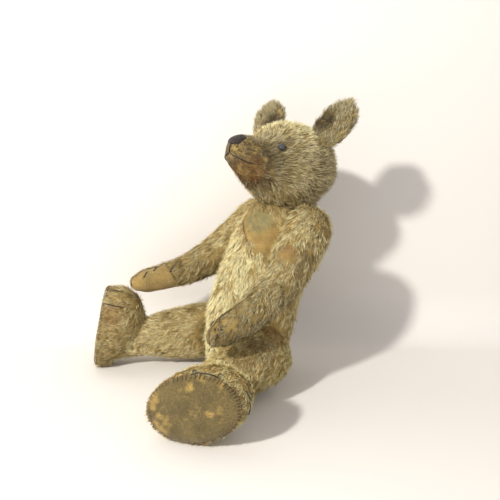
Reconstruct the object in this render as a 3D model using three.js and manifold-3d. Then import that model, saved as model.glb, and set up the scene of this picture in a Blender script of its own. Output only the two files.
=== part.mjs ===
// A sitting jointed teddy bear: mohair plush covers packed with wood wool, joined at the neck,
// shoulders and hips by fibreboard discs on steel cotter pins.
// Millimetres, +Z up. The bear faces -Y and its left side is +X. The origin is the middle of its
// seat, on the surface it sits on.

import * as THREE from 'three';
import { mergeVertices } from 'three/addons/utils/BufferGeometryUtils.js';
import Module from 'manifold-3d';

const wasm = await Module();
wasm.setup();

// ---- Driving dimensions ----

const PLUSH = 2.2;            // thickness of the mohair plush: backing and the pile pressed to it
const SLACK = 0.35;           // space between two pieces that lie against each other
const PACKING_GAP = 1.7;      // space left round the stuffing inside a cover
const FELT = 2.0;             // felt of the paw and foot pads

const LEAN = 14;              // degrees the torso leans back
const TORSO_LENGTH = 208;     // seat to neck joint, along the torso
const HEAD_TURN = 14;         // degrees the head is turned to the bear's left
const HEAD_PITCH = 20;        // degrees the muzzle points above level
const HEAD_ROLL = 2;          // degrees the head tips to the bear's left

const SHOULDER_AT = 182;      // height of the shoulder joints along the torso
const SHOULDER_OUT = 39;      // shoulder joint face from the torso's middle
const HIP_AT = 42;            // height of the hip joints along the torso
const HIP_OUT = 39;           // hip joint face from the torso's middle

const DISC_THICK = 2.0;
const WASHER_THICK = 0.8;
const WASHER_RADIUS = 6.5;
const PIN_RADIUS = 1.3;
const PIN_EYE_RADIUS = 3.2;
const PIN_HOLE = 2.0;         // radius of the holes that the cotter pins pass through
const DISC_CLEARANCE = 1;     // room round a disc or washer in the stuffing

const ARM_OUT = 19;           // middle of the arm from its joint face
const ARM_SPREAD = 3;         // how much farther out the hand is
const PAD_START = 128;        // where a paw pad begins, along the arm from the shoulder
const LEG_LENGTH = 142;       // hip to sole
const LEG_OUT = 18.5;         // middle of the thigh from its joint face
const THIGH_FORWARD = 6;      // middle of the thigh in front of its joint
const FOOT_FORWARD = 21;      // middle of the sole from the leg's middle, towards the toes
const FOOT_CANT = 15;         // degrees the toes are drawn up towards the knee
const SOLE_HALF_WIDTH = 32;
const SOLE_HALF_LENGTH = 49;

const EYE_RADIUS = 4.4;
const EYE_AT = [48, 29, 8];   // forwards, sideways and up from the middle of the skull
const NOSE_AT = [94, 0, 2];
const NOSE_RADIUS = 9.5;      // of the ball that marks out the nose on the end of the muzzle
const NOSE_DEPTH = 2.4;       // thickness of the satin stitches
const THREAD_RADIUS = 1.1;    // of the mouth's thread

// ---- Colours and finishes ----

const finish = (color, roughness, metalness = 0) => ({ color, roughness, metalness });
const MOHAIR = finish(0xc9b98a, 0.95);
const WOOD_WOOL = finish(0xd8c08a, 0.9);
const PAW_FELT = finish(0xc4a06a, 0.95);
const SOLE_FELT = finish(0x83744c, 0.95);
const NOSE_THREAD = finish(0x1e1414, 0.8);
const EYE_GLASS = finish(0x26262a, 0.15);
const FIBREBOARD = finish(0x7a5c3c, 0.85);
const STEEL = finish(0x8d8f92, 0.4, 0.9);

const bear = new THREE.Group();

function addPiece(name, geometry, { color, roughness, metalness }) {
  const mesh = new THREE.Mesh(geometry, new THREE.MeshStandardMaterial({ color, roughness, metalness }));
  mesh.name = name;
  bear.add(mesh);
  return mesh;
}

// ---- Solids and booleans ----

function toSolid(geometry) {
  const plain = geometry.clone();
  plain.deleteAttribute('normal');
  plain.deleteAttribute('uv');
  const merged = mergeVertices(plain, 1e-4);
  return new wasm.Manifold(new wasm.Mesh({
    numProp: 3,
    vertProperties: Float32Array.from(merged.attributes.position.array),
    triVerts: Uint32Array.from(merged.index.array),
  }));
}

function toGeometry(solid) {
  const mesh = solid.getMesh();
  const geometry = new THREE.BufferGeometry();
  geometry.setAttribute('position', new THREE.BufferAttribute(Float32Array.from(mesh.vertProperties), 3));
  geometry.setIndex(new THREE.BufferAttribute(Uint32Array.from(mesh.triVerts), 1));
  return geometry;
}

const vec = (x, y, z) => new THREE.Vector3(x, y, z);
const degrees = THREE.MathUtils.degToRad;

// How full the ring at t is where a form closes over its end within the share `cap` of its length.
function endRounding(t, cap) {
  return t >= cap ? 1 : Math.sqrt(Math.max(0, 1 - (1 - t / cap) ** 2));
}

// A stuffed form: a sphere drawn out along a spine. Station i stands at spine[i], and its ring has
// the half width and half depth sizes[i]; depth is measured towards deepWay. The inset takes the
// whole surface inwards by that much.
function stuffedForm({ spine, sizes, deepWay, caps }, inset = 0) {
  const geometry = inset > 0 ? new THREE.SphereGeometry(1, 10, 7) : new THREE.SphereGeometry(1, 16, 10);
  const path = new THREE.CatmullRomCurve3(spine);
  const girth = new THREE.CatmullRomCurve3(sizes.map(([w, d]) => vec(w, d, 0)));
  const length = path.getLength();
  const points = geometry.attributes.position;
  const corner = new THREE.Vector3();
  for (let i = 0; i < points.count; i += 1) {
    corner.fromBufferAttribute(points, i);
    const share = (1 - corner.y) / 2;
    const t = THREE.MathUtils.clamp(inset / length + share * (1 - (2 * inset) / length), 0, 1);
    const tangent = path.getTangent(t);
    const deep = deepWay.clone().addScaledVector(tangent, -deepWay.dot(tangent)).normalize();
    const wide = deep.clone().cross(tangent);
    const spread = Math.hypot(corner.x, corner.z) || 1;
    const full = Math.min(endRounding(share, caps[0]), endRounding(1 - share, caps[1]));
    const size = girth.getPoint(t);
    const place = path.getPoint(t);
    place.addScaledVector(wide, (corner.x / spread) * Math.max(size.x - inset, 0.5) * full);
    place.addScaledVector(deep, (corner.z / spread) * Math.max(size.y - inset, 0.5) * full);
    points.setXYZ(i, place.x, place.y, place.z);
  }
  return toSolid(geometry);
}

// The half space beyond a plane, as a large block: what a flat face is cut with.
function beyond(point, outward, inset = 0) {
  const reach = 400;
  const block = new THREE.BoxGeometry(reach, reach, reach);
  block.translate(0, 0, reach / 2 - inset);
  block.applyQuaternion(new THREE.Quaternion().setFromUnitVectors(vec(0, 0, 1), outward));
  block.translate(point.x, point.y, point.z);
  return toSolid(block);
}

// A round bar or disc from `from` to `to` along an axis through a point.
function bar(point, axis, from, to, radius, sides = 16) {
  const cylinder = new THREE.CylinderGeometry(radius, radius, to - from, sides);
  cylinder.applyQuaternion(new THREE.Quaternion().setFromUnitVectors(vec(0, 1, 0), axis));
  const middle = point.clone().addScaledVector(axis, (from + to) / 2);
  cylinder.translate(middle.x, middle.y, middle.z);
  return toSolid(cylinder);
}

// ---- Joints ----

const torsoUp = vec(0, Math.sin(degrees(LEAN)), Math.cos(degrees(LEAN)));
const torsoFront = vec(0, -Math.cos(degrees(LEAN)), Math.sin(degrees(LEAN)));

// A joint stands at a point on the torso; its axis leaves the torso there. `back` and `rise` turn
// the axis of a limb joint backwards and upwards from straight out sideways.
function limbJoint(name, side, along, out, forward, back, rise, discRadius) {
  const axis = vec(
    side * Math.cos(degrees(back)) * Math.cos(degrees(rise)),
    Math.sin(degrees(back)) * Math.cos(degrees(rise)),
    Math.sin(degrees(rise)),
  );
  const point = torsoUp.clone().multiplyScalar(along);
  point.addScaledVector(torsoFront, forward);
  point.x += side * out;
  return { name, side, point, axis, discRadius };
}

const joints = {
  neck: {
    name: 'neck',
    point: torsoUp.clone().multiplyScalar(TORSO_LENGTH),
    axis: torsoUp.clone(),
    discRadius: 18,
  },
  leftShoulder: limbJoint('left_shoulder', 1, SHOULDER_AT, SHOULDER_OUT, -2, 8, 12, 12),
  rightShoulder: limbJoint('right_shoulder', -1, SHOULDER_AT, SHOULDER_OUT, -2, 8, 12, 12),
  leftHip: limbJoint('left_hip', 1, HIP_AT, HIP_OUT, 18, 2, -8, 13),
  rightHip: limbJoint('right_hip', -1, HIP_AT, HIP_OUT, 18, 2, -8, 13),
};

// Distances along a joint's axis, from its face: the plush, then the disc, washer and pin end.
const DISC_FROM = SLACK / 2 + PLUSH + SLACK;
const DISC_TO = DISC_FROM + DISC_THICK;
const WASHER_FROM = DISC_TO + SLACK;
const WASHER_TO = WASHER_FROM + WASHER_THICK;
const PIN_TO = WASHER_TO + 10;

// What a joint takes out of the stuffing on one side: room for the disc, washer and pin end.
function jointPocket({ point, axis, discRadius }, way) {
  const room = (depth, radius, sides) => {
    const [from, to] = way > 0 ? [-DISC_CLEARANCE, depth] : [-depth, DISC_CLEARANCE];
    return bar(point, axis, from, to, radius + DISC_CLEARANCE, sides);
  };
  return room(DISC_TO + SLACK, discRadius, 14).add(room(PIN_TO + DISC_CLEARANCE, WASHER_RADIUS, 8));
}

function pinHole({ point, axis }) {
  return bar(point, axis, -12, 12, PIN_HOLE, 8);
}

// ---- A stuffed part: its plush cover and the stuffing inside ----

// `form(inset)` gives the part's outside taken in by that much; each joint is [joint, way], with
// way 1 for the part that the axis points into and -1 for the torso.
function stuffedPart(name, form, partJoints) {
  let cover = form(0).subtract(form(PLUSH));
  let stuffing = form(PLUSH + PACKING_GAP).intersect(form(PLUSH + SLACK));
  for (const [joint, way] of partJoints) {
    cover = cover.subtract(pinHole(joint));
    stuffing = stuffing.subtract(jointPocket(joint, way));
  }
  addPiece(`${name}_cover`, toGeometry(cover), MOHAIR);
  addPiece(`${name}_stuffing`, toGeometry(stuffing), WOOD_WOOL);
}

// What a flat face on the ground takes off a part.
function belowGround(inset) {
  return beyond(vec(0, 0, 0), vec(0, 0, -1), inset);
}

// ---- Torso: an egg, fullest at the belly, narrow at the neck ----

// height along the torso, how far its middle stands forward, half width, half depth
const TORSO_RINGS = [
  [-8, 5, 41, 41], [24, 8, 47, 48], [68, 10, 50, 52], [112, 9, 49, 51],
  [152, 5, 47, 46], [184, 1, 43, 41], [TORSO_LENGTH + 8, -2, 35, 31],
];

function torsoForm(inset) {
  let solid = stuffedForm({
    spine: TORSO_RINGS.map(([up, forward]) => torsoUp.clone().multiplyScalar(up)
      .addScaledVector(torsoFront, forward)),
    sizes: TORSO_RINGS.map(([, , halfWidth, halfDepth]) => [halfWidth, halfDepth]),
    deepWay: torsoFront,
    caps: [0.16, 0.03],
  }, inset);
  solid = solid.subtract(belowGround(inset));
  for (const joint of Object.values(joints)) {
    solid = solid.subtract(beyond(joint.point, joint.axis, inset + SLACK / 2));
  }
  return solid;
}

stuffedPart('torso', torsoForm, Object.values(joints).map((joint) => [joint, -1]));

// ---- Head: a broad skull, a long muzzle and a short neck ----

const headForward = vec(
  Math.sin(degrees(HEAD_TURN)) * Math.cos(degrees(HEAD_PITCH)),
  -Math.cos(degrees(HEAD_TURN)) * Math.cos(degrees(HEAD_PITCH)),
  Math.sin(degrees(HEAD_PITCH)),
);
const levelLeft = vec(Math.cos(degrees(HEAD_TURN)), Math.sin(degrees(HEAD_TURN)), 0);
const headLeft = levelLeft.clone().applyAxisAngle(headForward, -degrees(HEAD_ROLL));
const headUp = headForward.clone().cross(headLeft);
const skullMiddle = joints.neck.point.clone().add(vec(1, 8, 50));

// A point of the head, from the middle of the skull: forwards, to the bear's left, and up.
function onHead(forward, left, up) {
  return skullMiddle.clone()
    .addScaledVector(headForward, forward)
    .addScaledVector(headLeft, left)
    .addScaledVector(headUp, up);
}

function headForm(inset) {
  const skull = stuffedForm({
    spine: [onHead(-56, 0, -4), onHead(-18, 0, 0), onHead(20, 0, 0), onHead(54, 0, -6)],
    sizes: [[50, 44], [55, 47], [52, 45], [38, 32]],
    deepWay: headUp,
    caps: [0.5, 0.42],
  }, inset);
  const muzzle = stuffedForm({
    spine: [onHead(0, 0, -10), onHead(36, 0, -12), onHead(64, 0, -11), onHead(96, 0, -10)],
    sizes: [[46, 36], [37, 32], [24, 24], [16, 16]],
    deepWay: headUp,
    caps: [0.3, 0.15],
  }, inset);
  const neckFoot = joints.neck.point.clone().addScaledVector(joints.neck.axis, -8);
  const neck = stuffedForm({
    spine: [neckFoot, onHead(-8, 0, -36), onHead(0, 0, -14), onHead(0, 0, 10)],
    sizes: [[26, 26], [38, 40], [47, 48], [47, 44]],
    deepWay: headForward,
    caps: [0.02, 0.4],
  }, inset);
  const opposite = joints.neck.axis.clone().negate();
  return skull.add(muzzle).add(neck).subtract(beyond(joints.neck.point, opposite, inset + SLACK / 2));
}

stuffedPart('head', headForm, [[joints.neck, 1]]);

// ---- Arms: long, bent at the elbow, narrowing to a flat hand ----

// distance along the arm, bend to the front, half width, half thickness
const ARM_RINGS = [
  [-28, 4, 22, 21], [0, 0, 27, 25], [48, -7, 25, 23], [96, -5, 18.5, 19],
  [140, 9, 15.5, 15], [180, 28, 13, 11],
];

function armForm(joint, way) {
  const along = way.clone().addScaledVector(joint.axis, -way.dot(joint.axis)).normalize();
  const front = joint.axis.clone().cross(along).multiplyScalar(-joint.side);
  const opposite = joint.axis.clone().negate();
  const spine = ARM_RINGS.map(([a, bend], i) => joint.point.clone()
    .addScaledVector(along, a)
    .addScaledVector(front, bend)
    .addScaledVector(joint.axis, ARM_OUT + (ARM_SPREAD * Math.max(i - 1, 0)) / 4));
  return (inset) => stuffedForm({
    spine,
    sizes: ARM_RINGS.map(([, , halfWidth, halfThick]) => [halfWidth, halfThick]),
    deepWay: joint.axis,
    caps: [0.16, 0.1],
  }, inset).subtract(beyond(joint.point, opposite, inset + SLACK / 2));
}

const LEFT_ARM_WAY = vec(0, -0.74, -0.67);
const RIGHT_ARM_WAY = vec(0, -0.815, -0.58);
const leftArm = armForm(joints.leftShoulder, LEFT_ARM_WAY);
const rightArm = armForm(joints.rightShoulder, RIGHT_ARM_WAY);
stuffedPart('left_arm', leftArm, [[joints.leftShoulder, 1]]);
stuffedPart('right_arm', rightArm, [[joints.rightShoulder, 1]]);

// ---- Legs: a full thigh, a narrow ankle and a long foot standing up from the heel ----

// distance along the leg, half width, half depth
const LEG_RINGS = [
  [-28, 30, 30], [0, 33, 34], [40, 29, 33], [78, 23, 25], [106, 20, 22], [LEG_LENGTH + 20, 22, 24],
];
// distance along the leg, how far the middle stands towards the toes, half width, half length
const FOOT_RINGS = [
  [96, 4, 22, 24], [110, 12, 29, 38], [124, 19, 33, 49], [LEG_LENGTH + 22, 20, 33.5, 50.5],
];

// `splay` turns the leg outwards from straight ahead, `drop` tips it down, and `twist` rolls the
// foot outwards about the leg.
function legDirections(joint, splay, drop, twist) {
  const along = vec(
    joint.side * Math.sin(degrees(splay)) * Math.cos(degrees(drop)),
    -Math.cos(degrees(splay)) * Math.cos(degrees(drop)),
    -Math.sin(degrees(drop)),
  );
  const sideways = vec(joint.side * Math.cos(degrees(splay)), Math.sin(degrees(splay)), 0);
  const upright = sideways.clone().cross(along).multiplyScalar(-joint.side);
  const toes = upright.clone().applyAxisAngle(along, -joint.side * degrees(twist));
  const hip = joint.point.clone().addScaledVector(joint.axis, LEG_OUT).add(vec(0, -THIGH_FORWARD, 0));
  const facing = along.clone().applyAxisAngle(toes.clone().cross(along), -degrees(FOOT_CANT));
  const middle = hip.clone().addScaledVector(along, LEG_LENGTH).addScaledVector(toes, FOOT_FORWARD);
  return { along, toes, hip, sole: { facing, middle } };
}

function legForm(joint, { along, toes, hip, sole }) {
  const opposite = joint.axis.clone().negate();
  return (inset) => {
    const shank = stuffedForm({
      spine: LEG_RINGS.map(([a]) => hip.clone().addScaledVector(along, a)),
      sizes: LEG_RINGS.map(([, halfWidth, halfDepth]) => [halfWidth, halfDepth]),
      deepWay: toes,
      caps: [0.18, 0.02],
    }, inset);
    const foot = stuffedForm({
      spine: FOOT_RINGS.map(([a, forward]) => hip.clone()
        .addScaledVector(along, a).addScaledVector(toes, forward)),
      sizes: FOOT_RINGS.map(([, , halfWidth, halfLength]) => [halfWidth, halfLength]),
      deepWay: toes,
      caps: [0.4, 0.02],
    }, inset);
    return shank.add(foot)
      .subtract(beyond(sole.middle, sole.facing, inset))
      .subtract(beyond(joint.point, opposite, inset + SLACK / 2))
      .subtract(belowGround(inset));
  };
}

const leftLegWay = legDirections(joints.leftHip, 25, 5, 72);
const rightLegWay = legDirections(joints.rightHip, 24, 5, 4);
stuffedPart('left_leg', legForm(joints.leftHip, leftLegWay), [[joints.leftHip, 1]]);
stuffedPart('right_leg', legForm(joints.rightHip, rightLegWay), [[joints.rightHip, 1]]);

// ---- Felt pads ----

// The palm side of a hand and its tip: a felt cap lying on the plush.
function addPawPad(name, joint, way, form) {
  const along = way.clone().addScaledVector(joint.axis, -way.dot(joint.axis)).normalize();
  const start = joint.point.clone().addScaledVector(along, PAD_START);
  const edge = joint.point.clone().addScaledVector(joint.axis, ARM_OUT + ARM_SPREAD - 2);
  const pad = form(-(SLACK + FELT)).subtract(form(-SLACK))
    .subtract(beyond(start, along.clone().negate()))
    .subtract(beyond(edge, joint.axis));
  addPiece(name, toGeometry(pad), PAW_FELT);
}

addPawPad('left_paw_pad', joints.leftShoulder, LEFT_ARM_WAY, leftArm);
addPawPad('right_paw_pad', joints.rightShoulder, RIGHT_ARM_WAY, rightArm);

// The sole: an oval of felt against the flat end of the foot.
function addFootPad(name, { along, toes, sole }) {
  const outline = new THREE.Shape();
  outline.absellipse(0, 0, SOLE_HALF_WIDTH, SOLE_HALF_LENGTH, 0, Math.PI * 2);
  const pad = new THREE.ExtrudeGeometry(outline, { depth: FELT, bevelEnabled: false, curveSegments: 14 });
  const lengthways = toes.clone().addScaledVector(sole.facing, -toes.dot(sole.facing)).normalize();
  const across = lengthways.clone().cross(sole.facing);
  const turn = new THREE.Matrix4().makeBasis(across, lengthways, sole.facing);
  turn.setPosition(sole.middle.clone().addScaledVector(sole.facing, SLACK));
  pad.applyMatrix4(turn);
  addPiece(name, toGeometry(toSolid(pad).subtract(belowGround(0))), SOLE_FELT);
}

addFootPad('left_foot_pad', leftLegWay);
addFootPad('right_foot_pad', rightLegWay);

// ---- Ears: cupped, two layers of mohair, sewn on at the back corners of the head ----

function earForm(side) {
  const shell = stuffedForm({
    spine: [onHead(4, side * 39, 28), onHead(0, side * 55, 57), onHead(-4, side * 62, 82)],
    sizes: [[20, 6], [25, 6], [21, 4]],
    deepWay: headForward,
    caps: [0.2, 0.5],
  });
  const hollow = new THREE.SphereGeometry(32, 12, 8);
  const cup = onHead(32, side * 47, 64);
  hollow.translate(cup.x, cup.y, cup.z);
  return shell.subtract(toSolid(hollow)).subtract(headForm(-SLACK));
}

addPiece('left_ear', toGeometry(earForm(1)), MOHAIR);
addPiece('right_ear', toGeometry(earForm(-1)), MOHAIR);

// ---- Face: boot-button eyes, a satin-stitched nose and a stitched mouth ----

function addEye(name, side) {
  const eye = new THREE.SphereGeometry(EYE_RADIUS, 12, 8);
  const middle = onHead(EYE_AT[0], side * EYE_AT[1], EYE_AT[2]);
  eye.translate(middle.x, middle.y, middle.z);
  addPiece(name, toGeometry(toSolid(eye).subtract(headForm(-SLACK))), EYE_GLASS);
}

addEye('left_eye', 1);
addEye('right_eye', -1);

function noseForm() {
  const region = new THREE.SphereGeometry(1, 14, 10);
  region.scale(NOSE_RADIUS, NOSE_RADIUS, NOSE_RADIUS);
  const middle = onHead(...NOSE_AT);
  region.translate(middle.x, middle.y, middle.z);
  return toSolid(region).intersect(headForm(-(SLACK + NOSE_DEPTH))).subtract(headForm(-SLACK));
}

addPiece('nose_stitching', toGeometry(noseForm()), NOSE_THREAD);

// A thread laid along points on the head, as a tube of small section.
function threadForm(points) {
  const section = new THREE.Shape();
  section.absarc(0, 0, THREAD_RADIUS, 0, Math.PI * 2);
  const path = new THREE.CatmullRomCurve3(points);
  return toSolid(new THREE.ExtrudeGeometry(section, {
    steps: 3 * (points.length - 1), extrudePath: path, bevelEnabled: false, curveSegments: 2,
  }));
}

const headSurface = new THREE.Mesh(toGeometry(headForm(-SLACK)), new THREE.MeshStandardMaterial());

// Where a line from a point in front of the muzzle, aimed back at its middle, meets the plush.
function onMuzzle(left, up) {
  const from = onHead(150, left * 2, up * 2 - 6);
  const aim = onHead(70, left * 0.4, up * 0.4 - 10);
  const caster = new THREE.Raycaster(from, aim.sub(from).normalize());
  const hit = caster.intersectObject(headSurface)[0];
  return hit.point.addScaledVector(caster.ray.direction, -THREAD_RADIUS * 0.7);
}

const lip = onMuzzle(0, -12);
const mouth = threadForm([onMuzzle(0, -2), lip])
  .add(threadForm([onMuzzle(-20, -17), onMuzzle(-9, -16), lip, onMuzzle(9, -16), onMuzzle(20, -17)]))
  .subtract(headForm(-SLACK));
addPiece('mouth_stitching', toGeometry(mouth), NOSE_THREAD);

// ---- Joint hardware: discs, washers and cotter pins ----

// A flat ring with a hole for the pin, lying across a joint's axis.
function ringForm({ point, axis }, from, to, radius) {
  const outline = new THREE.Shape();
  outline.absarc(0, 0, radius, 0, Math.PI * 2);
  const hole = new THREE.Path();
  hole.absarc(0, 0, PIN_HOLE, 0, Math.PI * 2, true);
  outline.holes.push(hole);
  const ring = new THREE.ExtrudeGeometry(outline, {
    depth: to - from, bevelEnabled: false, curveSegments: 7,
  });
  ring.applyQuaternion(new THREE.Quaternion().setFromUnitVectors(vec(0, 0, 1), axis));
  const place = point.clone().addScaledVector(axis, from);
  ring.translate(place.x, place.y, place.z);
  return toSolid(ring);
}

// The pin's eye bears on the outer washer, and its two legs are curled over on the inner one.
function cotterPin({ point, axis }) {
  const sideways = vec(1, 0, 0).cross(axis).normalize();
  const place = (along, across) => point.clone().addScaledVector(axis, along)
    .addScaledVector(sideways, across);
  const eye = new THREE.TorusGeometry(PIN_EYE_RADIUS, PIN_RADIUS, 5, 8);
  const turn = new THREE.Matrix4().makeBasis(axis, sideways, axis.clone().cross(sideways));
  turn.setPosition(place(WASHER_TO + SLACK + PIN_EYE_RADIUS + PIN_RADIUS, 0));
  const shaft = bar(point, axis, -(WASHER_TO + 2), WASHER_TO + 2.5, PIN_RADIUS, 6);
  let pin = toSolid(eye.applyMatrix4(turn)).add(shaft);
  for (const way of [-1, 1]) {
    const curl = new THREE.CatmullRomCurve3([
      place(-WASHER_TO - 1.2, 0), place(-WASHER_TO - 4, way * 1.2), place(-WASHER_TO - 5, way * 3.4),
      place(-WASHER_TO - 3, way * 4.6),
    ]);
    const section = new THREE.Shape();
    section.absarc(0, 0, PIN_RADIUS * 0.7, 0, Math.PI * 2);
    pin = pin.add(toSolid(new THREE.ExtrudeGeometry(section, {
      steps: 4, extrudePath: curl, bevelEnabled: false, curveSegments: 2,
    })));
  }
  return pin;
}

for (const joint of Object.values(joints)) {
  const { name, discRadius } = joint;
  const sides = [
    ['inner', [-DISC_TO, -DISC_FROM], [-WASHER_TO, -WASHER_FROM]],
    ['outer', [DISC_FROM, DISC_TO], [WASHER_FROM, WASHER_TO]],
  ];
  for (const [side, discSpan, washerSpan] of sides) {
    const disc = ringForm(joint, ...discSpan, discRadius);
    const washer = ringForm(joint, ...washerSpan, WASHER_RADIUS);
    addPiece(`${name}_${side}_disc`, toGeometry(disc), FIBREBOARD);
    addPiece(`${name}_${side}_washer`, toGeometry(washer), STEEL);
  }
  addPiece(`${name}_pin`, toGeometry(cotterPin(joint)), STEEL);
}

export default bear;
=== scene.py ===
import math

import bmesh
import bpy
import numpy as np
from mathutils import Matrix, Vector
from mathutils.bvhtree import BVHTree


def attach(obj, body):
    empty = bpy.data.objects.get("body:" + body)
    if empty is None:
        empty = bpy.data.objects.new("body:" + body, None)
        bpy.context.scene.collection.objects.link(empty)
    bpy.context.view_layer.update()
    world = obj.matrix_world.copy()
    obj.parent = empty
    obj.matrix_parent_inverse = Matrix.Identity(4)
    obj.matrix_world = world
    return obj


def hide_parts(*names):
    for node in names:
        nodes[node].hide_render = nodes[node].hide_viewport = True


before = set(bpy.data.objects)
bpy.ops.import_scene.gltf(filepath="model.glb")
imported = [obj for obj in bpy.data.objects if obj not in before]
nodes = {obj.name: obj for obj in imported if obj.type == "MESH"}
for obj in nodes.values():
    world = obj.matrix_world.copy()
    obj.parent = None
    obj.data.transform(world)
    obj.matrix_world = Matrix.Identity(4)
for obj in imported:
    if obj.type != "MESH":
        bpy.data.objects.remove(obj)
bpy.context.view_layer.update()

MM = 0.001

# ---- Where the bear sits: a pale paper sweep ----
# A roll of matt paper laid on a table and run up behind in one curve, lit by one large soft
# light from the bear's front and a weak one that lifts the shadows. The paper shows from its
# front only, so it hides nothing from behind.


def linear(code):
    """An sRGB hex colour as linear red, green, blue and alpha."""
    parts = [int(code[i:i + 2], 16) / 255 for i in (1, 3, 5)]
    return [c / 12.92 if c <= 0.04045 else ((c + 0.055) / 1.055) ** 2.4 for c in parts] + [1.0]


def add_node(material, kind, settings=(), links=()):
    """Adds a node; settings are (socket or property, value), links are (socket, output)."""
    tree = material.node_tree
    made = tree.nodes.new(kind)
    for name, value in dict(settings).items():
        if isinstance(name, str) and hasattr(made, name):
            setattr(made, name, value)
        else:
            made.inputs[name].default_value = value
    for name, output in dict(links).items():
        tree.links.new(output, made.inputs[name])
    return made


def new_finish(name, roughness, settings=()):
    """A material and its one shader, with the values that are the same all over."""
    material = bpy.data.materials.new(name)
    material.use_nodes = True
    shader = material.node_tree.nodes["Principled BSDF"]
    shader.inputs["Roughness"].default_value = roughness
    for socket, value in dict(settings).items():
        shader.inputs[socket].default_value = value
    return material, shader


# The Mix node's sockets for two colours and for their mix.
COLOUR_A, COLOUR_B, MIXED = 6, 7, 2

# The paper's shape in metres, along the way that the camera looks: where it ends in front, where
# it starts to turn up behind, the radius of that turn, its top, half its width, and how far it
# lies below the bear, so that no face of one lies in a face of the other.
CAMERA_AZIMUTH = math.radians(60)
TOWARDS_CAMERA = Vector((math.sin(CAMERA_AZIMUTH), -math.cos(CAMERA_AZIMUTH), 0))
ACROSS = Vector((math.cos(CAMERA_AZIMUTH), math.sin(CAMERA_AZIMUTH), 0))
PAPER_FRONT = 1.6
PAPER_BEHIND = -0.08
PAPER_CURVE = 0.065
PAPER_TOP = 2.2
PAPER_HALF_WIDTH = 2.4
PAPER_BELOW = 0.0008
CURVE_STEPS = 16


def paper_sweep():
    """The paper: level to behind the bear, then turning up through a quarter circle."""
    profile = [(PAPER_FRONT, 0.0), (PAPER_BEHIND, 0.0)]
    for step in range(1, CURVE_STEPS + 1):
        turn = math.radians(90 * step / CURVE_STEPS)
        profile.append((PAPER_BEHIND - PAPER_CURVE * math.sin(turn), PAPER_CURVE * (1 - math.cos(turn))))
    profile.append((PAPER_BEHIND - PAPER_CURVE, PAPER_TOP))
    mesh = bpy.data.meshes.new("paper_sweep")
    points = []
    for along, height in profile:
        for side in (-PAPER_HALF_WIDTH, PAPER_HALF_WIDTH):
            points.append(TOWARDS_CAMERA * along + ACROSS * side + Vector((0, 0, height - PAPER_BELOW)))
    faces = [(2 * i, 2 * i + 1, 2 * i + 3, 2 * i + 2) for i in range(len(profile) - 1)]
    mesh.from_pydata(points, [], faces)
    mesh.polygons.foreach_set("use_smooth", [True] * len(faces))
    sweep = bpy.data.objects.new("paper_sweep", mesh)
    bpy.context.collection.objects.link(sweep)
    return sweep


# Heavy matt paper: all but white, with no shine, uneven in tone in clouds a third of its width.
paper, paper_shader = new_finish("matt_paper", 0.85, {"Specular IOR Level": 0.2})
fibre = add_node(paper, "ShaderNodeTexNoise", {"Scale": 3.0, "Detail": 3.0})
tone = add_node(paper, "ShaderNodeMix",
                {"data_type": "RGBA", COLOUR_A: linear("#E6E3E0"), COLOUR_B: linear("#EFECE8")},
                {"Factor": fibre.outputs["Fac"]})
side_seen = add_node(paper, "ShaderNodeNewGeometry")
front_only = add_node(paper, "ShaderNodeMath", {"operation": "SUBTRACT", 0: 1.0},
                      {1: side_seen.outputs["Backfacing"]})
paper.node_tree.links.new(tone.outputs[MIXED], paper_shader.inputs["Base Color"])
paper.node_tree.links.new(front_only.outputs[0], paper_shader.inputs["Alpha"])
sweep = paper_sweep()
sweep.data.materials.append(paper)


LIT_POINT = Vector((0.02, -0.02, 0.14))


def soft_light(name, place, size, power, colour):
    """A round soft light aimed at LIT_POINT."""
    lamp = bpy.data.lights.new(name, "AREA")
    lamp.shape = "DISK"
    lamp.size = size
    lamp.energy = power
    lamp.color = linear(colour)[:3]
    light = bpy.data.objects.new(name, lamp)
    light.location = place
    aim = LIT_POINT - Vector(place)
    light.rotation_euler = aim.to_track_quat("-Z", "Y").to_euler()
    bpy.context.collection.objects.link(light)


soft_light("key_light", (0.60, -1.37, 1.03), 0.13, 31.0, "#FFFAF2")
soft_light("fill_light", (1.7, 0.2, 1.3), 1.6, 3.5, "#F4F2FF")
room = bpy.data.worlds.new("room")
room.use_nodes = True
room.node_tree.nodes["Background"].inputs["Color"].default_value = linear("#F8F6F2")
room.node_tree.nodes["Background"].inputs["Strength"].default_value = 0.46
bpy.context.scene.world = room
bpy.context.scene.view_settings.view_transform = "Standard"

CAMERA_ELEVATION = math.radians(10)
CAMERA_AWAY = 0.680
aim_point = Vector((0.020, -0.006, 0.157))
camera_way = Vector((math.sin(CAMERA_AZIMUTH) * math.cos(CAMERA_ELEVATION),
                     -math.cos(CAMERA_AZIMUTH) * math.cos(CAMERA_ELEVATION),
                     math.sin(CAMERA_ELEVATION)))
lens = bpy.data.cameras.new("camera")
lens.lens = 42.2
lens.sensor_width = 36.0
lens.clip_start = 0.01
camera = bpy.data.objects.new("camera", lens)
camera.location = aim_point + camera_way * CAMERA_AWAY
camera.rotation_euler = (-camera_way).to_track_quat("-Z", "Y").to_euler()
bpy.context.collection.objects.link(camera)
bpy.context.scene.camera = camera

# ---- Torso: the stuffed body ----
# Mohair plush, sewn inside out from shaped panels, turned and packed hard with wood wool. The
# pile runs down the body. It is worn to the cloth on the chest, where the bear was held.


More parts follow.
